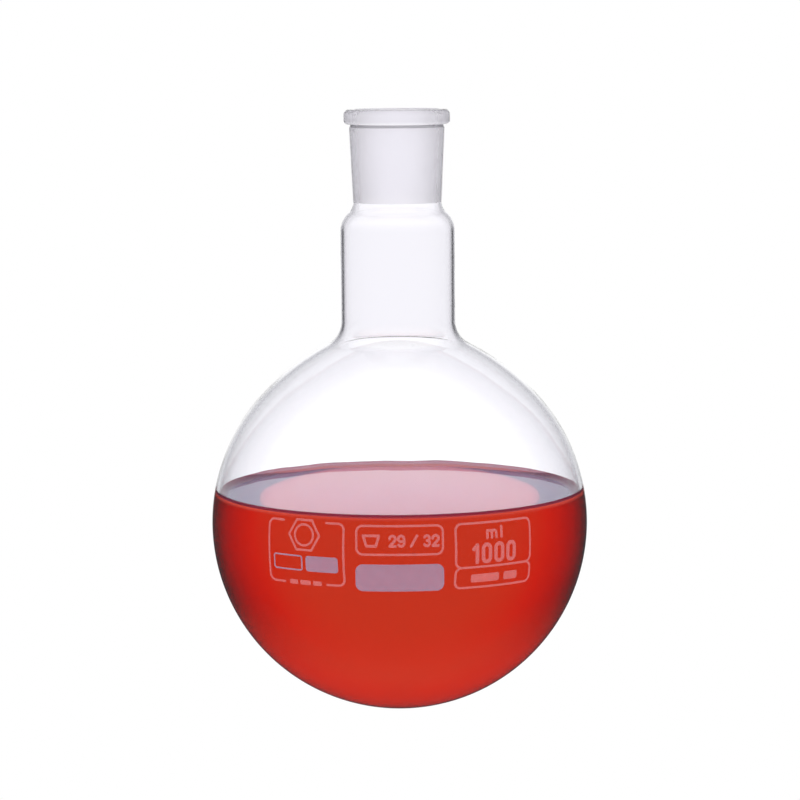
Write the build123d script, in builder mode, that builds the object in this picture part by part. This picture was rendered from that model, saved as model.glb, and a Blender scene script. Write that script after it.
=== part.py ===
from build123d import *
import os
from math import atan2, cos, degrees, radians, sin, sqrt

# One-litre round-bottom boiling flask with a 29/32 ground socket, partly filled with a red
# solution. Millimetres. +Z runs up the flask's axis, the origin is the lowest point of the
# bulb, and the printed fields face -Y.

# Bulb and neck
BULB_RADIUS = 65.5
WALL = 1.6
CROWN_RADIUS = 90.0  # the bulb flattens a little between the sphere and the neck
CROWN_ANGLE = 45.0  # where the crown takes over from the sphere, from the axis
NECK_RADIUS = 19.8
NECK_ROOT_RADIUS = 9.0
SHOULDER_RADIUS = 8.5
SHOULDER_TOP_RADIUS = 4.5  # hollow rounding between the shoulder and the socket

# Ground socket: the bore is 29.2 mm across at the mouth, 32 mm long and tapers 1 in 10
TOTAL_HEIGHT = 209.0
GROUND_LENGTH = 32.0
MOUTH_RADIUS = 14.6
TAPER = 0.1
SOCKET_FOOT_RADIUS = 15.3
SOCKET_HEAD_RADIUS = 16.5
RIM_RADIUS = 18.4
RIM_HEIGHT = 5.2
RIM_TOP_ROUNDING = 1.9
RIM_UNDER_ROUNDING = 1.3
GROOVE_HEIGHT = 0.9  # shallow groove that sets the rim off from the socket
GROOVE_DEPTH = 0.35
GROOVE_EDGE_ROUNDING = 0.3
MOUTH_ROUNDING = 0.4

# Liquid: a filling that keeps clear of the glass, cut off level
LIQUID_CLEARANCE = 0.1
LIQUID_LEVEL = 76.0

# Printed fields: fired enamel on the front of the bulb, three fields side by side
ENAMEL = 0.06
FIELD_PITCH = 29.0  # degrees round the axis from one field to the next
FIELD_LIFT = 0.8  # the fields' own level lies this far above the bulb's centre
FIELD_WIDTH = 29.2
FIELD_TOP = 8.5
FIELD_BOTTOM = -13.8
CORNER = 2.5
LINE = 0.75
PEN = 0.9  # width of the strokes of small signs

BULB_CENTRE = BULB_RADIUS
SEAM_HEIGHT = TOTAL_HEIGHT - GROUND_LENGTH
GROUND_FOOT_RADIUS = MOUTH_RADIUS - GROUND_LENGTH * TAPER / 2

# Outline centres, worked out so that every arc runs on smoothly into the next
CROWN_R = -(CROWN_RADIUS - BULB_RADIUS) * sin(radians(CROWN_ANGLE))
CROWN_Z = BULB_CENTRE - (CROWN_RADIUS - BULB_RADIUS) * cos(radians(CROWN_ANGLE))
ROOT_R = NECK_RADIUS + NECK_ROOT_RADIUS
ROOT_Z = CROWN_Z + sqrt((CROWN_RADIUS + NECK_ROOT_RADIUS) ** 2 - (ROOT_R - CROWN_R) ** 2)
SHOULDER_R = NECK_RADIUS - SHOULDER_RADIUS
TOP_R = SOCKET_FOOT_RADIUS + SHOULDER_TOP_RADIUS
SHOULDER_Z = SEAM_HEIGHT - sqrt(
    (SHOULDER_RADIUS + SHOULDER_TOP_RADIUS) ** 2 - (TOP_R - SHOULDER_R) ** 2
)


def on_arc(centre_r, centre_z, radius, angle):
    """Point of an arc in the outline's plane, its angle taken from the axis."""
    return (centre_r + radius * sin(radians(angle)), centre_z + radius * cos(radians(angle)))


def towards(start_r, start_z, end_r, end_z, distance):
    """Point at a distance from the start, on the way to the end."""
    share = distance / sqrt((end_r - start_r) ** 2 + (end_z - start_z) ** 2)
    return (start_r + share * (end_r - start_r), start_z + share * (end_z - start_z))


def wall_outline(inset):
    """Outline of the bulb and neck from the lowest point to the seam, moved into the glass."""
    bulb = BULB_RADIUS - inset
    crown = CROWN_RADIUS - inset
    shoulder = SHOULDER_RADIUS - inset
    lowest = (0, BULB_CENTRE - bulb)
    side = (bulb, BULB_CENTRE)
    crown_start = on_arc(0, BULB_CENTRE, bulb, CROWN_ANGLE)
    crown_end = towards(CROWN_R, CROWN_Z, ROOT_R, ROOT_Z, crown)
    crown_middle = towards(
        CROWN_R,
        CROWN_Z,
        (crown_start[0] + crown_end[0]) / 2,
        (crown_start[1] + crown_end[1]) / 2,
        crown,
    )
    neck_start = (NECK_RADIUS - inset, ROOT_Z)
    root_middle = towards(
        ROOT_R,
        ROOT_Z,
        (crown_end[0] + neck_start[0]) / 2,
        (crown_end[1] + neck_start[1]) / 2,
        NECK_ROOT_RADIUS + inset,
    )
    neck_end = (NECK_RADIUS - inset, SHOULDER_Z)
    shoulder_end = towards(SHOULDER_R, SHOULDER_Z, TOP_R, SEAM_HEIGHT, shoulder)
    shoulder_middle = towards(
        SHOULDER_R,
        SHOULDER_Z,
        (neck_end[0] + shoulder_end[0]) / 2,
        (neck_end[1] + shoulder_end[1]) / 2,
        shoulder,
    )
    seam = (SOCKET_FOOT_RADIUS - inset, SEAM_HEIGHT)
    top_middle = towards(
        TOP_R,
        SEAM_HEIGHT,
        (shoulder_end[0] + seam[0]) / 2,
        (shoulder_end[1] + seam[1]) / 2,
        SHOULDER_TOP_RADIUS + inset,
    )
    ThreePointArc(lowest, side, crown_start)
    ThreePointArc(crown_start, crown_middle, crown_end)
    ThreePointArc(crown_end, root_middle, neck_start)
    Line(neck_start, neck_end)
    ThreePointArc(neck_end, shoulder_middle, shoulder_end)
    ThreePointArc(shoulder_end, top_middle, seam)
    return lowest, seam


def field_plane(place):
    """Upright plane on the bulb's axis that faces one printed field.

    Place -1 is the left field, 0 the middle one and 1 the right one.
    """
    angle = radians(place * FIELD_PITCH)
    return Plane(
        origin=(0, 0, BULB_CENTRE + FIELD_LIFT),
        x_dir=(cos(angle), sin(angle), 0),
        z_dir=(sin(angle), -cos(angle), 0),
    )


def onto_bulb():
    """Turn the pending sketch into a layer of enamel lying on the bulb."""
    extrude(amount=BULB_RADIUS + 2 * ENAMEL)
    add(enamel_layer.part, mode=Mode.INTERSECT)


def outline_box(left, right, bottom, top, corner):
    """Rounded box drawn as a line of the enamel's line width."""
    with Locations(((left + right) / 2, (bottom + top) / 2)):
        RectangleRounded(right - left, top - bottom, corner)
        RectangleRounded(
            right - left - 2 * LINE, top - bottom - 2 * LINE, corner - LINE, mode=Mode.SUBTRACT
        )


def dashes(middle, height, lengths, thickness, gap):
    """Row of plain bars, centred, one per length."""
    reach = -(sum(lengths) + gap * (len(lengths) - 1)) / 2
    for length in lengths:
        with Locations((middle + reach + length / 2, height)):
            RectangleRounded(length, thickness, thickness / 5)
        reach += length + gap


def pen_line(start, end, pen):
    """Straight pen stroke with round ends."""
    run = end[0] - start[0]
    rise = end[1] - start[1]
    with Locations(((start[0] + end[0]) / 2, (start[1] + end[1]) / 2)):
        SlotCenterToCenter(sqrt(run**2 + rise**2), pen, rotation=degrees(atan2(rise, run)))


def pen_arc(centre, radius, start_angle, sweep, pen):
    """Curved pen stroke with round ends, its angles in degrees from the right-hand side."""
    with BuildLine(mode=Mode.PRIVATE) as bow:
        CenterArc(centre, radius, start_angle, sweep)
    SlotArc(bow.edge(), pen)


def glyph(sign, left, foot, width, size, pen):
    """One digit, letter or stroke, its pen kept inside a cell of the given width and size."""
    bend = width / 2
    middle = left + bend
    right = left + width
    head = foot + size
    if sign == "0":
        pen_line((left, foot + bend), (left, head - bend), pen)
        pen_line((right, foot + bend), (right, head - bend), pen)
        pen_arc((middle, head - bend), bend, 0, 180, pen)
        pen_arc((middle, foot + bend), bend, 180, 180, pen)
    if sign == "1":
        pen_line((middle, foot), (middle, head), pen)
        pen_line((left, head - 0.22 * size), (middle, head), pen)
    if sign == "2":
        turn = radians(-35)
        knee = (middle + bend * cos(turn), head - bend + bend * sin(turn))
        pen_arc((middle, head - bend), bend, -35, 215, pen)
        pen_line(knee, (left, foot), pen)
        pen_line((left, foot), (right, foot), pen)
    if sign == "3":
        upper = 0.24 * size
        lower = 0.26 * size
        pen_arc((middle, head - upper), upper, -90, 245, pen)
        pen_arc((middle, foot + lower), lower, -155, 245, pen)
    if sign == "9":
        eye_foot = head - 0.55 * size + bend
        pen_arc((middle, head - bend), bend, 0, 180, pen)
        pen_arc((middle, eye_foot), bend, 180, 180, pen)
        pen_line((left, eye_foot), (left, head - bend), pen)
        pen_line((right, foot + bend), (right, head - bend), pen)
        pen_arc((middle, foot + bend), bend, -150, 150, pen)
    if sign == "/":
        pen_line((left, foot), (right, head), pen)
    if sign == "m":
        spring = foot + 0.45 * size
        pen_line((left, foot), (left, spring + bend / 2), pen)
        pen_arc((left + bend / 2, spring), bend / 2, 0, 180, pen)
        pen_line((middle, spring), (middle, foot), pen)
        pen_arc((middle + bend / 2, spring), bend / 2, 0, 180, pen)
        pen_line((right, spring), (right, foot), pen)
    if sign == "l":
        pen_line((middle, foot), (middle, head), pen)


def write(signs, middle, foot, width, size, pen, gap):
    """Write a row of signs, centred, with a gap between neighbouring cells."""
    start = middle - ((width + gap) * len(signs) - gap) / 2
    for place, sign in enumerate(signs):
        glyph(sign, start + place * (width + gap), foot, width, size, pen)


# Thin layer over the bulb's sphere, from which every printed piece is cut out
with BuildPart(Location((0, 0, BULB_CENTRE))) as enamel_layer:
    Sphere(BULB_RADIUS + ENAMEL)
    Sphere(BULB_RADIUS, mode=Mode.SUBTRACT)

# Blown body: the bulb, the neck and the shoulder in one wall
with BuildPart() as flask_body:
    with BuildSketch(Plane.XZ):
        with BuildLine():
            outer_lowest, outer_seam = wall_outline(0)
            inner_lowest, inner_seam = wall_outline(WALL)
            Line(outer_lowest, inner_lowest)
            Line(outer_seam, inner_seam)
        make_face()
    revolve(axis=Axis.Z)

# Ground socket: tapered bore, slightly tapered outside and a rounded rim
with BuildPart() as ground_socket:
    with BuildSketch(Plane.XZ) as socket_half:
        with BuildLine():
            rim_foot = TOTAL_HEIGHT - RIM_HEIGHT
            Polyline(
                (GROUND_FOOT_RADIUS, SEAM_HEIGHT),
                (SOCKET_FOOT_RADIUS, SEAM_HEIGHT),
                (SOCKET_HEAD_RADIUS, rim_foot - GROOVE_HEIGHT),
                (SOCKET_HEAD_RADIUS - GROOVE_DEPTH, rim_foot - GROOVE_HEIGHT + GROOVE_DEPTH),
                (SOCKET_HEAD_RADIUS - GROOVE_DEPTH, rim_foot),
                (RIM_RADIUS, rim_foot),
                (RIM_RADIUS, TOTAL_HEIGHT),
                (MOUTH_RADIUS, TOTAL_HEIGHT),
                close=True,
            )
        make_face()
        rim_corners = socket_half.vertices().group_by(Axis.X)[-1].sort_by(Axis.Y)
        fillet(rim_corners[0], RIM_UNDER_ROUNDING)
        rim_top = socket_half.vertices().group_by(Axis.X)[-1].sort_by(Axis.Y)[-1]
        fillet(rim_top, RIM_TOP_ROUNDING)
        groove_edge = socket_half.vertices().sort_by_distance(
            (SOCKET_HEAD_RADIUS, rim_foot - GROOVE_HEIGHT)
        )[0]
        fillet(groove_edge, GROOVE_EDGE_ROUNDING)
        mouth_edge = socket_half.vertices().group_by(Axis.Y)[-1].sort_by(Axis.X)[0]
        fillet(mouth_edge, MOUTH_ROUNDING)
    revolve(axis=Axis.Z)

# Red solution: the part of a sphere below the level
with BuildPart() as liquid:
    liquid_radius = BULB_RADIUS - WALL - LIQUID_CLEARANCE
    level_radius = sqrt(liquid_radius**2 - (LIQUID_LEVEL - BULB_CENTRE) ** 2)
    with BuildSketch(Plane.XZ):
        with BuildLine():
            lowest = (0, BULB_CENTRE - liquid_radius)
            edge = (level_radius, LIQUID_LEVEL)
            ThreePointArc(lowest, (liquid_radius, BULB_CENTRE), edge)
            Polyline(edge, (0, LIQUID_LEVEL), lowest)
        make_face()
    revolve(axis=Axis.Z)

# Left field: a frame left open above for the sign and below for the small bars
FRAME_GAP = 15.6
FRAME_TOP = FIELD_TOP + 0.4
FRAME_BOTTOM = FIELD_BOTTOM + 1.2
frame_middle = (FRAME_TOP + FRAME_BOTTOM) / 2
frame_height = FRAME_TOP - FRAME_BOTTOM

with BuildPart() as mark_frame_left:
    with BuildSketch(field_plane(-1)):
        outline_box(-FIELD_WIDTH / 2, FIELD_WIDTH / 2, FRAME_BOTTOM, FRAME_TOP, CORNER)
        with Locations((FIELD_WIDTH / 2 - FRAME_GAP / 2, frame_middle)):
            Rectangle(FIELD_WIDTH, 2 * frame_height, mode=Mode.SUBTRACT)
    onto_bulb()

with BuildPart() as mark_frame_right:
    with BuildSketch(field_plane(-1)):
        outline_box(-FIELD_WIDTH / 2, FIELD_WIDTH / 2, FRAME_BOTTOM, FRAME_TOP, CORNER)
        with Locations((FRAME_GAP / 2 - FIELD_WIDTH / 2, frame_middle)):
            Rectangle(FIELD_WIDTH, 2 * frame_height, mode=Mode.SUBTRACT)
    onto_bulb()

# Plain chemist's ring sign in place of a maker's sign
SIGN_RADIUS = 6.2
SIGN_HEIGHT = 4.1

with BuildPart() as mark_hexagon:
    with BuildSketch(field_plane(-1)):
        with Locations((0, SIGN_HEIGHT)):
            RegularPolygon(SIGN_RADIUS, 6)
            RegularPolygon(SIGN_RADIUS - 1.2 * LINE, 6, mode=Mode.SUBTRACT)
    onto_bulb()

with BuildPart() as mark_ring:
    with BuildSketch(field_plane(-1)):
        with Locations((0, SIGN_HEIGHT)):
            Circle(SIGN_RADIUS / 2 + LINE)
            Circle(SIGN_RADIUS / 2, mode=Mode.SUBTRACT)
    onto_bulb()

# Plain bars in place of a name, the left one only an outline
BAR_LENGTH = 11.7
BAR_HEIGHT = -5.4
BAR_THICKNESS = 5.3
BAR_GAP = 1.2
BAR_LINE = 0.7 * LINE

with BuildPart() as mark_bars:
    with BuildSketch(field_plane(-1)):
        dashes(0, BAR_HEIGHT, (BAR_LENGTH, BAR_LENGTH), BAR_THICKNESS, BAR_GAP)
        with Locations((-(BAR_LENGTH + BAR_GAP) / 2, BAR_HEIGHT)):
            RectangleRounded(
                BAR_LENGTH - 2 * BAR_LINE, BAR_THICKNESS - 2 * BAR_LINE, LINE / 2, mode=Mode.SUBTRACT
            )
    onto_bulb()

with BuildPart() as mark_dashes:
    with BuildSketch(field_plane(-1)):
        dashes(0, FRAME_BOTTOM + 0.6, (3.2, 4.0, 3.2), thickness=1.6, gap=0.9)
    onto_bulb()

# Middle field: joint size above, plate for pencil notes below
JOINT_FIELD_BOTTOM = -1.7
PATCH_TOP = -4.6

with BuildPart() as joint_size_frame:
    with BuildSketch(field_plane(0)):
        outline_box(-FIELD_WIDTH / 2, FIELD_WIDTH / 2, JOINT_FIELD_BOTTOM, FIELD_TOP, CORNER)
    onto_bulb()

# Outline of a ground cone, as a plain sign for the joint
CONE_MIDDLE = -9.4
CONE_TOP = 4.9
CONE_BOTTOM = 1.5
CONE_HALF_HEAD = 2.6
CONE_HALF_FOOT = 0.6 * CONE_HALF_HEAD

with BuildPart() as joint_size_sign:
    with BuildSketch(field_plane(0)):
        for side in (-1, 1):
            foot = CONE_MIDDLE + side * CONE_HALF_FOOT
            head = CONE_MIDDLE + side * CONE_HALF_HEAD
            pen_line((foot, CONE_BOTTOM), (head, CONE_TOP), PEN)
            pen_line((CONE_MIDDLE, CONE_BOTTOM), (foot, CONE_BOTTOM), PEN)
            pen_line((CONE_MIDDLE, CONE_TOP), (head, CONE_TOP), PEN)
    onto_bulb()

# Joint size: two numbers with a stroke halfway between them
STROKE_MIDDLE = 4.75
NUMBER_OFFSET = 5.65

with BuildPart() as joint_size_digits:
    with BuildSketch(field_plane(0)):
        for signs, middle in (
            ("29", STROKE_MIDDLE - NUMBER_OFFSET),
            ("/", STROKE_MIDDLE),
            ("32", STROKE_MIDDLE + NUMBER_OFFSET),
        ):
            write(signs, middle, foot=CONE_BOTTOM, width=1.9, size=CONE_TOP - CONE_BOTTOM, pen=PEN, gap=0.95)
    onto_bulb()

with BuildPart() as writing_patch:
    with BuildSketch(field_plane(0)):
        with Locations((0, (PATCH_TOP + FIELD_BOTTOM) / 2)):
            RectangleRounded(FIELD_WIDTH, PATCH_TOP - FIELD_BOTTOM, CORNER)
    onto_bulb()

# Right field: capacity above, a low box with plain bars for the kind of glass below
CAPACITY_BOTTOM = -6.9

with BuildPart() as capacity_frame:
    with BuildSketch(field_plane(1)):
        outline_box(-FIELD_WIDTH / 2, FIELD_WIDTH / 2, CAPACITY_BOTTOM, FIELD_TOP, CORNER)
    onto_bulb()

with BuildPart() as capacity_unit:
    with BuildSketch(field_plane(1)):
        write("ml", middle=0.5, foot=3.0, width=3.4, size=3.4, pen=PEN, gap=0.3)
    onto_bulb()

ONE_MIDDLE = -6.8
NOUGHTS_MIDDLE = 1.4

with BuildPart() as capacity_digits:
    with BuildSketch(field_plane(1)):
        for signs, middle in (("1", ONE_MIDDLE), ("000", NOUGHTS_MIDDLE)):
            write(signs, middle, foot=-4.9, width=2.6, size=5.7, pen=1.3, gap=2.1)
    onto_bulb()

with BuildPart() as grade_frame:
    with BuildSketch(field_plane(1)):
        outline_box(
            -FIELD_WIDTH / 2, FIELD_WIDTH / 2, FIELD_BOTTOM, CAPACITY_BOTTOM + LINE, CORNER
        )
        with Locations((0, (FIELD_TOP + CAPACITY_BOTTOM) / 2)):
            RectangleRounded(
                FIELD_WIDTH, FIELD_TOP - CAPACITY_BOTTOM, CORNER, mode=Mode.SUBTRACT
            )
    onto_bulb()

with BuildPart() as grade_dashes:
    with BuildSketch(field_plane(1)):
        dashes(0, (CAPACITY_BOTTOM + FIELD_BOTTOM) / 2, (10.4, 5.4), thickness=2.8, gap=1.8)
    onto_bulb()

PIECES = {
    "flask_body": flask_body,
    "ground_socket": ground_socket,
    "liquid": liquid,
    "mark_frame_left": mark_frame_left,
    "mark_frame_right": mark_frame_right,
    "mark_hexagon": mark_hexagon,
    "mark_ring": mark_ring,
    "mark_bars": mark_bars,
    "mark_dashes": mark_dashes,
    "joint_size_frame": joint_size_frame,
    "joint_size_sign": joint_size_sign,
    "joint_size_digits": joint_size_digits,
    "writing_patch": writing_patch,
    "capacity_frame": capacity_frame,
    "capacity_unit": capacity_unit,
    "capacity_digits": capacity_digits,
    "grade_frame": grade_frame,
    "grade_dashes": grade_dashes,
}

os.makedirs("parts", exist_ok=True)
for piece_name, piece in PIECES.items():
    piece.part.label = piece_name
    export_step(piece.part, f"parts/{piece_name}.step")
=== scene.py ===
import bmesh
import bpy
from math import atan2, cos, degrees, hypot, pi, radians, sin, sqrt
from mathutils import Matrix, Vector


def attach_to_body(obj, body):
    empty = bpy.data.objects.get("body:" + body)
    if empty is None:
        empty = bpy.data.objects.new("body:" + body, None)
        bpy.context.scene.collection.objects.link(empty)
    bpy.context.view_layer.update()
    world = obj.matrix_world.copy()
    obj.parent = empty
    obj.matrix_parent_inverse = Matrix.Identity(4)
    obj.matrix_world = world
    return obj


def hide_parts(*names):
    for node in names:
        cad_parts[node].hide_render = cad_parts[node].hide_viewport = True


# Looks for the round-bottom flask. Outlines are in millimetres, like the CAD, and every
# mesh is written in metres.

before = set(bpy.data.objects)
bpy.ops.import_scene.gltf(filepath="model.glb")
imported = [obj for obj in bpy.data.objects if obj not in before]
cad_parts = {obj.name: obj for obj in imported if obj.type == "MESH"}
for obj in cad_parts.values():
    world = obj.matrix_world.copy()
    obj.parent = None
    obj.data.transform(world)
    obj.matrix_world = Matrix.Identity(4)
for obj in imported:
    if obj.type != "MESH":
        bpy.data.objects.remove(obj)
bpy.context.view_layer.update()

MM = 0.001

# Sizes shared with the CAD
BULB_RADIUS = 65.5
BULB_CENTRE = 65.5
WALL = 1.6
CROWN_RADIUS = 90.0
CROWN_ANGLE = 45.0
NECK_RADIUS = 19.8
NECK_ROOT_RADIUS = 9.0
SHOULDER_RADIUS = 8.5
SHOULDER_TOP_RADIUS = 4.5
TOTAL_HEIGHT = 209.0
SEAM_HEIGHT = 177.0
GROUND_FOOT_RADIUS = 13.0
MOUTH_RADIUS = 14.6
SOCKET_FOOT_RADIUS = 15.3
SOCKET_HEAD_RADIUS = 16.5
RIM_RADIUS = 18.4
RIM_HEIGHT = 5.2
RIM_TOP_ROUNDING = 1.9
RIM_UNDER_ROUNDING = 1.3
GROOVE_HEIGHT = 0.9
GROOVE_RADIUS = 16.15
GROOVE_ROUNDING = 0.3
MOUTH_ROUNDING = 0.4
LIQUID_LEVEL = 76.0

# The liquid reaches this far into the glass, so that no film of air shows between them
LIQUID_OVERLAP = 0.6
LIQUID_RADIUS = BULB_RADIUS - WALL + LIQUID_OVERLAP
MENISCUS_RISE = 1.8
MENISCUS_REACH = 4.0

# The enamel's two skins, and a radius between the CAD's own skins that tells them apart
ENAMEL_INSIDE = BULB_RADIUS + 0.012
ENAMEL_OUTSIDE = BULB_RADIUS + 0.06
ENAMEL_DIVIDE = BULB_RADIUS + 0.03
ENAMEL_FACET = 1.2  # edges longer than this are cut
ENAMEL_CUTS = 6  # rounds of cutting
THICK_PRINTS = ("writing_patch", "mark_bars")

# How finely the meshes are divided
ROUND_STEPS = 256
ARC_STEP = 1.5  # degrees
MENISCUS_STEPS = 24
SURFACE_STEPS = 8
GLASS_CREASE = 50.0  # degrees
ENAMEL_CREASE = 40.0  # degrees
WELD = 0.001  # points closer than this are one
NEAR = 0.1  # room for error when a face or point is told by its place


def arc(centre, radius, start, end):
    """Points of an arc from start to end, in degrees from the flask's axis, clockwise."""
    count = max(2, round(abs(end - start) / ARC_STEP))
    turns = [radians(start + (end - start) * step / count) for step in range(count + 1)]
    return [(centre[0] + radius * sin(turn), centre[1] + radius * cos(turn)) for turn in turns]


def bearing(centre, point):
    """Angle from the axis at which a point is seen from a centre."""
    return degrees(atan2(point[0] - centre[0], point[1] - centre[1]))


def wall_outline(inset):
    """Bulb and neck from the lowest point to the seam, moved into the glass by inset."""
    turn = radians(CROWN_ANGLE)
    back = CROWN_RADIUS - BULB_RADIUS
    bulb = (0.0, BULB_CENTRE)
    crown = (-back * sin(turn), BULB_CENTRE - back * cos(turn))
    root_r = NECK_RADIUS + NECK_ROOT_RADIUS
    root_reach = CROWN_RADIUS + NECK_ROOT_RADIUS
    root = (root_r, crown[1] + sqrt(root_reach**2 - (root_r - crown[0]) ** 2))
    top = (SOCKET_FOOT_RADIUS + SHOULDER_TOP_RADIUS, SEAM_HEIGHT)
    shoulder_r = NECK_RADIUS - SHOULDER_RADIUS
    shoulder_reach = SHOULDER_RADIUS + SHOULDER_TOP_RADIUS
    shoulder = (shoulder_r, SEAM_HEIGHT - sqrt(shoulder_reach**2 - (top[0] - shoulder_r) ** 2))
    to_root = bearing(crown, root)
    to_top = bearing(shoulder, top)
    points = arc(bulb, BULB_RADIUS - inset, 180.0, CROWN_ANGLE)
    points += arc(crown, CROWN_RADIUS - inset, CROWN_ANGLE, to_root)[1:]
    points += arc(root, NECK_ROOT_RADIUS + inset, to_root - 180.0, -90.0)[1:]
    points += arc(shoulder, SHOULDER_RADIUS - inset, 90.0, to_top)
    points += arc(top, SHOULDER_TOP_RADIUS + inset, to_top - 180.0, -90.0)[1:]
    return points


def new_piece(name, shape, crease):
    """Piece made from a finished shape, smooth but for edges sharper than the crease."""
    mesh = bpy.data.meshes.new(name)
    shape.to_mesh(mesh)
    shape.free()
    mesh.shade_smooth()
    mesh.set_sharp_from_angle(angle=radians(crease))
    piece = bpy.data.objects.new(name, mesh)
    bpy.context.scene.collection.objects.link(piece)
    return piece


def revolve(name, outline):
    """Piece made by turning an outline round the axis. Going up, its outside is to the right."""
    shape = bmesh.new()
    rings = []
    for radius, height in outline:
        if radius < WELD:
            rings.append([shape.verts.new((0.0, 0.0, height * MM))])
            continue
        ring = []
        for step in range(ROUND_STEPS):
            turn = 2 * pi * step / ROUND_STEPS
            ring.append(
                shape.verts.new((radius * cos(turn) * MM, radius * sin(turn) * MM, height * MM))
            )
        rings.append(ring)
    for low, high in zip(rings, rings[1:]):
        for step in range(ROUND_STEPS):
            following = (step + 1) % ROUND_STEPS
            if len(low) == 1:
                shape.faces.new((low[0], high[following], high[step]))
            elif len(high) == 1:
                shape.faces.new((low[step], low[following], high[0]))
            else:
                shape.faces.new((low[step], low[following], high[following], high[step]))
    return new_piece(name, shape, GLASS_CREASE)


def distance_from_axis(point):
    """Distance of a mesh point from the flask's axis, in millimetres."""
    return hypot(point.x, point.y) / MM


# ------------------------------------------------------------------- nodes
# An owner is a material or the world.


def new_material(name):
    """Empty node material and its output node."""
    material = bpy.data.materials.new(name)
    material.use_nodes = True
    material.node_tree.nodes.clear()
    return material, add_node(material, "ShaderNodeOutputMaterial")


def add_node(owner, kind, **settings):
    """Shader node with its properties set."""
    node = owner.node_tree.nodes.new(kind)
    for key, value in settings.items():
        setattr(node, key, value)
    return node


def link(owner, source, target):
    """Wire between two sockets."""
    owner.node_tree.links.new(source, target)


def fill_input(owner, target, value):
    """Give an input a value, or a wire if the value is a socket."""
    if isinstance(value, bpy.types.NodeSocket):
        link(owner, value, target)
    else:
        target.default_value = value


def ramp(owner, source, stops, interpolation="EASE"):
    """Colour ramp fed by a socket. A stop is a position and a colour."""
    node = add_node(owner, "ShaderNodeValToRGB")
    node.color_ramp.interpolation = interpolation
    elements = node.color_ramp.elements
    while len(elements) < len(stops):
        elements.new(0.5)
    for element, (position, colour) in zip(elements, stops):
        element.position = position
    for element, (position, colour) in zip(elements, stops):
        element.color = (*colour, 1.0)
    link(owner, source, node.inputs["Fac"])
    return node.outputs["Color"]


def blend_colours(owner, share, first, second):
    """Two colours blended by a share. Each can be a value or a socket."""
    node = add_node(owner, "ShaderNodeMix", data_type="RGBA")
    factor, colour_a, colour_b = 0, 6, 7
    for place, value in ((factor, share), (colour_a, first), (colour_b, second)):
        fill_input(owner, node.inputs[place], value)
    return node.outputs[2]


def blend_shaders(owner, share, first, second):
    """Two shaders blended by a share, which is a socket."""
    node = add_node(owner, "ShaderNodeMixShader")
    for target, source in zip(node.inputs, (share, first, second)):
        link(owner, source, target)
    return node.outputs["Shader"]


def arithmetic(owner, operation, first, second):
    """Result of a sum on two values or sockets, kept between 0 and 1."""
    node = add_node(owner, "ShaderNodeMath", operation=operation, use_clamp=True)
    fill_input(owner, node.inputs[0], first)
    fill_input(owner, node.inputs[1], second)
    return node.outputs[0]


def share_between(owner, vector, axis, low, high):
    """0 where a vector's part along an axis is below the lower value, 1 above the upper one."""
    split = add_node(owner, "ShaderNodeSeparateXYZ")
    link(owner, vector, split.inputs[0])
    spread = add_node(owner, "ShaderNodeMapRange", interpolation_type="SMOOTHSTEP")
    link(owner, split.outputs[axis], spread.inputs["Value"])
    spread.inputs["From Min"].default_value = low
    spread.inputs["From Max"].default_value = high
    return spread.outputs["Result"]


def height_share(owner, zone):
    """0 below a zone and 1 above it. A zone is two heights in the piece's own frame."""
    place = add_node(owner, "ShaderNodeTexCoord")
    low, high = zone
    return share_between(owner, place.outputs["Object"], "Z", low * MM, high * MM)


def facing(owner):
    """0 where the surface is seen straight on and 1 where it is seen edge-on."""
    weight = add_node(owner, "ShaderNodeLayerWeight")
    weight.inputs["Blend"].default_value = 0.5
    return weight.outputs["Facing"]


def noise(owner, scale, detail):
    """Soft noise that rides on the piece. Scale is in waves per metre."""
    place = add_node(owner, "ShaderNodeTexCoord")
    texture = add_node(owner, "ShaderNodeTexNoise")
    texture.inputs["Scale"].default_value = scale
    texture.inputs["Detail"].default_value = detail
    link(owner, place.outputs["Object"], texture.inputs["Vector"])
    return texture.outputs["Fac"]


def waviness(owner, scale, detail, strength, distance):
    """Normal of a surface with soft waves on it. Distance is their height in metres."""
    bump = add_node(owner, "ShaderNodeBump")
    bump.inputs["Strength"].default_value = strength
    bump.inputs["Distance"].default_value = distance
    link(owner, noise(owner, scale, detail), bump.inputs["Height"])
    return bump.outputs["Normal"]


# ---------------------------------------------------------------- materials

GLASS_IOR = 1.473
WATER_IOR = 1.333
WHITE = (1.0, 1.0, 1.0, 1.0)

# Zones over which one tint gives way to the next
LEVEL_ZONE = (LIQUID_LEVEL - 1.5, LIQUID_LEVEL + 0.5)
NECK_ZONE = (126.0, 134.0)
SHOULDER_ZONE = (167.0, 171.0)
FOOT_ZONE = (16.0, 46.0)
EDGE_ZONE = (LIQUID_LEVEL - 0.4, LIQUID_LEVEL + 0.8)

# Scale, detail, strength and distance of the waviness
BODY_WAVES = (45.0, 1.5, 0.5, 0.00015)
LINING_WAVES = (38.0, 1.5, 0.5, 0.00015)
SOCKET_WAVES = (90.0, 1.5, 0.5, 0.0001)
GRINDING = (2600.0, 3.0, 0.4, 0.0001)

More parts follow.
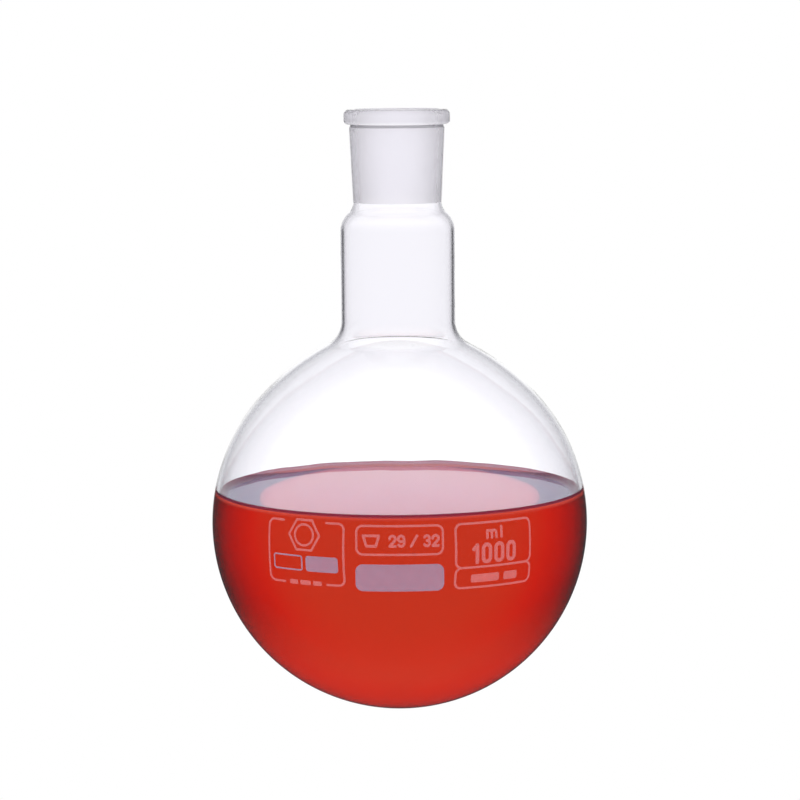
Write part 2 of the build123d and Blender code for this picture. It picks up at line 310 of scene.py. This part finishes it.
# Painted shade: light let through the outside of the glass, from straight on to edge-on. The dark
# line is painted where the wall would send the light off to the side.
BULB_SHADE_STOPS = (
    (0.0, (1.0, 1.0, 1.0)),
    (0.28, (1.0, 1.0, 1.0)),
    (0.44, (0.86, 0.85, 0.90)),
    (0.60, (0.80, 0.79, 0.84)),
    (0.69, (0.66, 0.66, 0.70)),
    (0.77, (0.50, 0.50, 0.54)),
    (0.84, (0.90, 0.90, 0.93)),
    (0.90, (1.0, 1.0, 1.0)),
)
NECK_SHADE_STOPS = (
    (0.0, (0.83, 0.82, 0.85)),
    (0.40, (0.80, 0.79, 0.82)),
    (0.52, (0.75, 0.74, 0.77)),
    (0.60, (0.56, 0.55, 0.58)),
    (0.65, (0.23, 0.23, 0.24)),
    (0.70, (0.02, 0.02, 0.022)),
    (0.76, (0.08, 0.08, 0.085)),
    (0.88, (1.0, 1.0, 1.0)),
)
SHOULDER_SHADE_STOPS = (
    (0.0, (0.92, 0.91, 0.93)),
    (0.40, (0.86, 0.85, 0.88)),
    (0.56, (0.66, 0.65, 0.68)),
    (0.70, (0.40, 0.40, 0.42)),
    (0.86, (1.0, 1.0, 1.0)),
)
# Painted shade on the socket's outside, soft and greyer towards its sides
SOCKET_SHADE_STOPS = (
    (0.0, (0.84, 0.82, 0.87)),
    (0.30, (0.78, 0.76, 0.80)),
    (0.55, (0.74, 0.72, 0.76)),
    (0.80, (0.74, 0.73, 0.76)),
)
# Painted shade in the groove under the rim: a dark line in the crease
GROOVE_SHADE_STOPS = (
    (0.0, (0.24, 0.23, 0.25)),
    (0.80, (0.22, 0.21, 0.23)),
)

# Painted shade: light let through the liquid's skin, from straight on to edge-on. These stops paint
# the dark sides, which the dye alone doesn't give. Past 0.3 only rays already inside it meet the
# skin.
SIDE_SHADE_STOPS = (
    (0.0, (0.62, 0.145, 0.085)),
    (0.09, (0.62, 0.100, 0.050)),
    (0.16, (0.66, 0.014, 0.007)),
    (0.215, (0.35, 0.003, 0.003)),
    (0.26, (0.055, 0.002, 0.003)),
    (0.30, (0.03, 0.002, 0.003)),
    (0.36, (0.60, 0.05, 0.03)),
)
# Painted light at the foot, where the skin turns lighter red towards its edge
FOOT_LIGHT_STOPS = (
    (0.0, (0.62, 0.145, 0.085)),
    (0.18, (0.72, 0.105, 0.060)),
    (0.23, (0.82, 0.045, 0.015)),
    (0.27, (1.0, 0.045, 0.015)),
)
EDGE_TINT = (0.78, 0.44, 0.58, 1.0)
SURFACE_TINT = (0.74, 0.80, 0.76, 1.0)
# Painted lilac sheen on the liquid's top, and how much of the surface it takes
TOP_SHEEN_COLOUR = (0.60, 0.50, 0.95, 1.0)
TOP_SHEEN_SHARE = 0.27
GLOW_COLOUR = (0.80, 0.09, 0.14, 1.0)
GLOW_SHARE = 0.6
DYE_COLOUR = (0.87, 0.2, 0.0, 1.0)
DYE_DENSITY = 15.0

# How much one skin of the enamel covers, and its colours where it is thin and thick. The colours are
# painted light, picked for how the prints look over the red liquid, and are not the enamel's own
# white.
PATCH_COVER = 0.38
PATCH_COLOURS = ((0.31, 0.31, 0.45), (0.35, 0.35, 0.50))
LINE_COVER = 0.16
LINE_COLOURS = ((0.86, 0.37, 0.38), (0.94, 0.42, 0.43))


def glass_shader(material, output, ior, mirror, roughness=0.0):
    """Principled shader for a clear material. Mirror is how bright it reflects when seen straight."""
    glass = add_node(material, "ShaderNodeBsdfPrincipled")
    glass.inputs["Base Color"].default_value = WHITE
    glass.inputs["Roughness"].default_value = roughness
    glass.inputs["IOR"].default_value = ior
    glass.inputs["Transmission Weight"].default_value = 1.0
    glass.inputs["Specular Tint"].default_value = (mirror, mirror, mirror, 1.0)
    link(material, glass.outputs["BSDF"], output.inputs["Surface"])
    return glass


def clear_glass_material():
    """Outside of the flask: clear glass with a painted grey outline, the shade that its wall would
    give it.
    """
    material, output = new_material("clear_glass")
    glass = glass_shader(material, output, GLASS_IOR, mirror=0.2)
    seen = facing(material)
    # Painted shade of the bulb, neck and shoulder, set by how the surface is seen
    bulb = ramp(material, seen, BULB_SHADE_STOPS)
    neck_shade = ramp(material, seen, NECK_SHADE_STOPS)
    shoulder = ramp(material, seen, SHOULDER_SHADE_STOPS)
    # Below the level the liquid fills the bulb out, so its wall gets no painted line of its own
    tint_and_shade = blend_colours(material, height_share(material, LEVEL_ZONE), WHITE, bulb)
    tint_and_shade = blend_colours(material, height_share(material, NECK_ZONE), tint_and_shade, neck_shade)
    tint_and_shade = blend_colours(material, height_share(material, SHOULDER_ZONE), tint_and_shade, shoulder)
    link(material, tint_and_shade, glass.inputs["Base Color"])
    link(material, waviness(material, *BODY_WAVES), glass.inputs["Normal"])
    return material


def socket_material(name, stops):
    """Outside of the socket, with painted shade that depends on how it is seen."""
    material, output = new_material(name)
    glass = glass_shader(material, output, GLASS_IOR, mirror=0.2)
    link(material, ramp(material, facing(material), stops), glass.inputs["Base Color"])
    link(material, waviness(material, *SOCKET_WAVES), glass.inputs["Normal"])
    return material


def lining_material():
    """Inside of the flask in air."""
    material, output = new_material("clear_glass_inside")
    glass = glass_shader(material, output, GLASS_IOR, mirror=0.2)
    link(material, waviness(material, *LINING_WAVES), glass.inputs["Normal"])
    return material


def wetted_material():
    """Inside of the flask where the liquid stands against it, which hardly reflects."""
    material, output = new_material("clear_glass_wetted")
    glass_shader(material, output, GLASS_IOR, mirror=0.0)
    return material


def ground_glass_material():
    """Ground surface of the socket's bore, which scatters the light."""
    material, output = new_material("ground_glass")
    glass = glass_shader(material, output, GLASS_IOR, mirror=1.0, roughness=0.6)
    link(material, waviness(material, *GRINDING), glass.inputs["Normal"])
    return material


def liquid_material():
    """Red solution: tinted a little along the way, and at its skin by how that is seen, with painted
    shade at its sides and painted light at its foot.
    """
    material, output = new_material("red_solution")
    liquid = glass_shader(material, output, WATER_IOR, mirror=0.05)
    # Painted shade at the sides and painted light at the foot
    side_shade = ramp(material, facing(material), SIDE_SHADE_STOPS, "LINEAR")
    foot_light = ramp(material, facing(material), FOOT_LIGHT_STOPS, "LINEAR")
    tint_and_shade = blend_colours(material, height_share(material, FOOT_ZONE), foot_light, side_shade)
    # The thin edge that climbs the glass takes up less
    tint_and_shade = blend_colours(material, height_share(material, EDGE_ZONE), tint_and_shade, EDGE_TINT)
    top = add_node(material, "ShaderNodeAttribute", attribute_name="top").outputs["Fac"]
    link(material, blend_colours(material, top, tint_and_shade, SURFACE_TINT), liquid.inputs["Base Color"])
    # Painted sheen: a lilac diffuse layer on the surface scatters the light around it, which makes it
    # milky when seen at a low angle; its lilac is painted, not the liquid's own
    top_sheen = add_node(material, "ShaderNodeBsdfDiffuse")
    top_sheen.inputs["Color"].default_value = TOP_SHEEN_COLOUR
    top_sheen_share = arithmetic(material, "MULTIPLY", top, TOP_SHEEN_SHARE)
    surface = blend_shaders(material, top_sheen_share, liquid.outputs["BSDF"], top_sheen.outputs["BSDF"])
    # Light spreads sideways in the thin edge where the liquid climbs the glass
    climb = add_node(material, "ShaderNodeAttribute", attribute_name="climb").outputs["Fac"]
    glow = add_node(material, "ShaderNodeBsdfTranslucent")
    glow.inputs["Color"].default_value = GLOW_COLOUR
    glow_share = arithmetic(material, "MULTIPLY", climb, GLOW_SHARE)
    surface = blend_shaders(material, glow_share, surface, glow.outputs["BSDF"])
    link(material, surface, output.inputs["Surface"])
    dye = add_node(material, "ShaderNodeVolumeAbsorption")
    dye.inputs["Color"].default_value = DYE_COLOUR
    dye.inputs["Density"].default_value = DYE_DENSITY
    link(material, dye.outputs["Volume"], output.inputs["Volume"])
    return material


def enamel_material(name, cover, colours):
    """Fired enamel, thin enough for the liquid to show through and a little uneven, in colours that
    carry painted light.
    """
    material, output = new_material(name)
    enamel = add_node(material, "ShaderNodeBsdfPrincipled")
    enamel.inputs["Roughness"].default_value = 0.45
    enamel.inputs["Alpha"].default_value = cover
    thin, thick = colours
    mottle = noise(material, scale=420.0, detail=3.0)
    colour = ramp(material, mottle, ((0.3, thin), (0.7, thick)), "LINEAR")
    link(material, colour, enamel.inputs["Base Color"])
    link(material, enamel.outputs["BSDF"], output.inputs["Surface"])
    return material


clear_glass = clear_glass_material()
clear_inside = lining_material()
wetted_inside = wetted_material()
ground_glass = ground_glass_material()
red_solution = liquid_material()
groove_shade_glass = socket_material("socket_groove_painted_shade", GROOVE_SHADE_STOPS)
socket_glass = socket_material("socket_glass", SOCKET_SHADE_STOPS)
patch_enamel = enamel_material("white_enamel", PATCH_COVER, PATCH_COLOURS)
line_enamel = enamel_material("line_enamel", LINE_COVER, LINE_COLOURS)


# ------------------------------------------------------------------ pieces


def attach(piece, body, node_name):
    """Let a piece ride on a body in place of a CAD node."""
    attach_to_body(piece, body)
    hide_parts(node_name)


def make_body():
    """Bulb and neck. The wall is left open at the seam, where the socket's glass goes on."""
    body = revolve("flask_glass_outside", wall_outline(0.0))
    body.data.materials.append(clear_glass)
    lining = revolve("flask_glass_inside", wall_outline(WALL)[::-1])
    lining.data.materials.append(clear_inside)
    lining.data.materials.append(wetted_inside)
    for face in lining.data.polygons:
        face.material_index = int(face.center.z < LIQUID_LEVEL * MM)
    with bpy.context.temp_override(
        active_object=body, selected_editable_objects=[body, lining], selected_objects=[body, lining]
    ):
        bpy.ops.object.join()
    body.name = "flask_glass"
    attach(body, "flask", "flask_body")


def make_socket():
    """Ground socket: fire-polished outside and rim, ground bore."""
    rim_foot = TOTAL_HEIGHT - RIM_HEIGHT
    groove_foot = rim_foot - GROOVE_HEIGHT
    shoulder = (SOCKET_HEAD_RADIUS - GROOVE_ROUNDING, groove_foot - GROOVE_ROUNDING)
    under = (RIM_RADIUS - RIM_UNDER_ROUNDING, rim_foot + RIM_UNDER_ROUNDING)
    crest = (RIM_RADIUS - RIM_TOP_ROUNDING, TOTAL_HEIGHT - RIM_TOP_ROUNDING)
    mouth = (MOUTH_RADIUS + MOUTH_ROUNDING, TOTAL_HEIGHT - MOUTH_ROUNDING)
    outline = [(SOCKET_FOOT_RADIUS, SEAM_HEIGHT)]
    outline += arc(shoulder, GROOVE_ROUNDING, 90.0, 45.0)
    outline += [(GROOVE_RADIUS, groove_foot + SOCKET_HEAD_RADIUS - GROOVE_RADIUS)]
    outline += [(GROOVE_RADIUS, rim_foot)]
    outline += arc(under, RIM_UNDER_ROUNDING, 180.0, 90.0)
    outline += arc(crest, RIM_TOP_ROUNDING, 90.0, 0.0)
    outline += arc(mouth, MOUTH_ROUNDING, 0.0, -90.0)
    outline += [(GROUND_FOOT_RADIUS, SEAM_HEIGHT), (SOCKET_FOOT_RADIUS - WALL, SEAM_HEIGHT)]
    socket = revolve("ground_socket_glass", outline)
    # Faces in the groove get the glass with the painted dark line
    for material in (socket_glass, ground_glass, groove_shade_glass):
        socket.data.materials.append(material)
    for face in socket.data.polygons:
        radius = distance_from_axis(face.center)
        faces_up = face.normal.z >= 0.7
        if radius < MOUTH_RADIUS + NEAR and not faces_up:
            face.material_index = 1
        elif radius > GROOVE_RADIUS - NEAR and groove_foot < face.center.z / MM < rim_foot:
            face.material_index = 2
    attach(socket, "flask", "ground_socket")


def make_liquid():
    """Red solution with a meniscus where it climbs the glass."""
    edge_height = LIQUID_LEVEL + MENISCUS_RISE
    edge_lift = edge_height - BULB_CENTRE
    edge_angle = degrees(atan2(sqrt(LIQUID_RADIUS**2 - edge_lift**2), edge_lift))
    outline = arc((0.0, BULB_CENTRE), LIQUID_RADIUS, 180.0, edge_angle)
    edge_radius = outline[-1][0]
    # The edge is flat inside the glass and the meniscus starts at the wall's inner skin
    contact_radius = sqrt((BULB_RADIUS - WALL) ** 2 - edge_lift**2)
    outline.append((contact_radius, edge_height))
    for step in range(1, MENISCUS_STEPS + 1):
        share = step / MENISCUS_STEPS
        lift = MENISCUS_RISE * (1.0 - share) ** 3
        outline.append((contact_radius - MENISCUS_REACH * share, LIQUID_LEVEL + lift))
    flat_radius = outline[-1][0]
    for step in range(1, SURFACE_STEPS + 1):
        outline.append((flat_radius * (1.0 - step / SURFACE_STEPS), LIQUID_LEVEL))
    liquid = revolve("liquid_filling", outline)
    liquid.data.materials.append(red_solution)
    # Top is 1 on the surface, and climb grows from 0 where it is flat to 1 at the glass
    top = liquid.data.attributes.new("top", "FLOAT", "POINT")
    climb = liquid.data.attributes.new("climb", "FLOAT", "POINT")
    for vert, top_value, climb_value in zip(liquid.data.vertices, top.data, climb.data):
        radius = distance_from_axis(vert.co)
        on_top = vert.co.z / MM >= LIQUID_LEVEL - WELD and radius < edge_radius - NEAR
        top_value.value = float(on_top)
        climb_value.value = max(0.0, min(1.0, (radius - flat_radius) / MENISCUS_REACH)) * on_top
    attach(liquid, "liquid", "liquid")


def make_print(node_name):
    """Copy of one printed piece with its skin cut fine enough to follow the bulb."""
    shape = bmesh.new()
    shape.from_mesh(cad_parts[node_name].data)
    bmesh.ops.remove_doubles(shape, verts=shape.verts, dist=WELD * MM)
    centre = Vector((0.0, 0.0, BULB_CENTRE * MM))
    # 1 on the enamel's outer skin and 0 on the inner one; cutting an edge keeps its value
    skin = shape.verts.layers.float.new("skin")
    for vert in shape.verts:
        vert[skin] = float((vert.co - centre).length > ENAMEL_DIVIDE * MM)
    for _ in range(ENAMEL_CUTS):
        bmesh.ops.triangulate(shape, faces=shape.faces)
        long_edges = [
            edge for edge in shape.edges
            if edge.calc_length() > ENAMEL_FACET * MM and edge.verts[0][skin] == edge.verts[1][skin]
        ]
        bmesh.ops.subdivide_edges(shape, edges=long_edges, cuts=1)
    bmesh.ops.triangulate(shape, faces=shape.faces)
    for vert in shape.verts:
        radius = ENAMEL_OUTSIDE if vert[skin] > 0.5 else ENAMEL_INSIDE
        vert.co = centre + (vert.co - centre).normalized() * radius * MM
    bmesh.ops.recalc_face_normals(shape, faces=shape.faces)
    piece = new_piece("enamel_" + node_name, shape, ENAMEL_CREASE)
    piece.data.materials.append(patch_enamel if node_name in THICK_PRINTS else line_enamel)
    attach(piece, "flask", node_name)


make_body()
make_socket()
make_liquid()
for node_name in sorted(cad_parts):
    if node_name not in ("flask_body", "ground_socket", "liquid"):
        make_print(node_name)


# ------------------------------------------------------- floor, light, camera

# Brighter than white, to make up for what the skins of the glass mirror away
SURROUNDINGS = (1.13, 1.13, 1.16, 1.0)
BACKDROP = (1.0, 1.0, 1.0, 1.0)
MIRRORED_FRONT = (0.06, 0.06, 0.065, 1.0)
MIRRORED_BACK = (1.0, 1.0, 1.0, 1.0)
BACKDROP_SIDE = (0.93, 0.99)  # how far a direction points along +Y where the backdrop starts

FLOOR_HALF = 3.0
FLOOR_LEVEL = -0.0005

CAMERA_PLACE = (0.00133, -1.0, 0.232)
CAMERA_PITCH = 7.067  # degrees below level
CAMERA_ROLL = 0.42  # degrees
LENS = 130.1
SENSOR = 36.0


def studio_light(owner, kind, position):
    """Light that a ray finds in the studio.

    The camera sees a white backdrop. Rays that have gone through glass or left a dull surface
    find light brighter than white on every side. What shiny surfaces mirror is the backdrop
    behind the flask and a dim room on the other sides, which a real studio wouldn't keep apart.
    """
    direction = add_node(owner, "ShaderNodeVectorMath", operation="NORMALIZE")
    link(owner, position, direction.inputs[0])
    behind = share_between(owner, direction.outputs[0], "Y", *BACKDROP_SIDE)
    mirrored = add_node(owner, kind)
    mirrored_colour = blend_colours(owner, behind, MIRRORED_FRONT, MIRRORED_BACK)
    link(owner, mirrored_colour, mirrored.inputs["Color"])
    around = add_node(owner, kind)
    around.inputs["Color"].default_value = SURROUNDINGS
    backdrop = add_node(owner, kind)
    backdrop.inputs["Color"].default_value = BACKDROP
    path = add_node(owner, "ShaderNodeLightPath").outputs
    mirror_ray = arithmetic(owner, "SUBTRACT", path["Is Reflection Ray"], path["Is Diffuse Ray"])
    unseen = blend_shaders(owner, mirror_ray, around.outputs[0], mirrored.outputs[0])
    return blend_shaders(owner, path["Is Camera Ray"], unseen, backdrop.outputs[0])


def set_world():
    """Bright studio all round."""
    world = bpy.data.worlds.new("studio")
    world.use_nodes = True
    world.node_tree.nodes.clear()
    bpy.context.scene.world = world
    output = add_node(world, "ShaderNodeOutputWorld")
    place = add_node(world, "ShaderNodeTexCoord")
    light = studio_light(world, "ShaderNodeBackground", place.outputs["Generated"])
    link(world, light, output.inputs["Surface"])


def make_floor():
    """Wide floor that glows evenly, so nothing casts a shadow on it."""
    mesh = bpy.data.meshes.new("floor")
    corners = ((-1, -1), (1, -1), (1, 1), (-1, 1))
    mesh.from_pydata(
        [(FLOOR_HALF * x, FLOOR_HALF * y, FLOOR_LEVEL) for x, y in corners], [], [(0, 1, 2, 3)]
    )
    floor = bpy.data.objects.new("floor", mesh)
    bpy.context.scene.collection.objects.link(floor)
    material, output = new_material("floor")
    place = add_node(material, "ShaderNodeTexCoord")
    light = studio_light(material, "ShaderNodeEmission", place.outputs["Object"])
    link(material, light, output.inputs["Surface"])
    mesh.materials.append(material)


def make_camera():
    """Long lens a metre away, looking slightly down on the flask."""
    data = bpy.data.cameras.new("camera")
    data.lens = LENS
    data.sensor_width = SENSOR
    data.clip_start = 0.1
    data.clip_end = 20.0
    camera = bpy.data.objects.new("camera", data)
    camera.location = CAMERA_PLACE
    camera.rotation_euler = (radians(90.0 - CAMERA_PITCH), radians(CAMERA_ROLL), 0.0)
    bpy.context.scene.collection.objects.link(camera)
    bpy.context.scene.camera = camera


def set_look():
    """Plain colours and enough light bounces for glass in front of glass."""
    scene = bpy.context.scene
    scene.view_settings.view_transform = "Standard"
    scene.view_settings.look = "None"
    scene.cycles.max_bounces = 24
    scene.cycles.transmission_bounces = 24
    scene.cycles.glossy_bounces = 8
    scene.cycles.transparent_max_bounces = 16


set_world()
make_floor()
make_camera()
set_look()
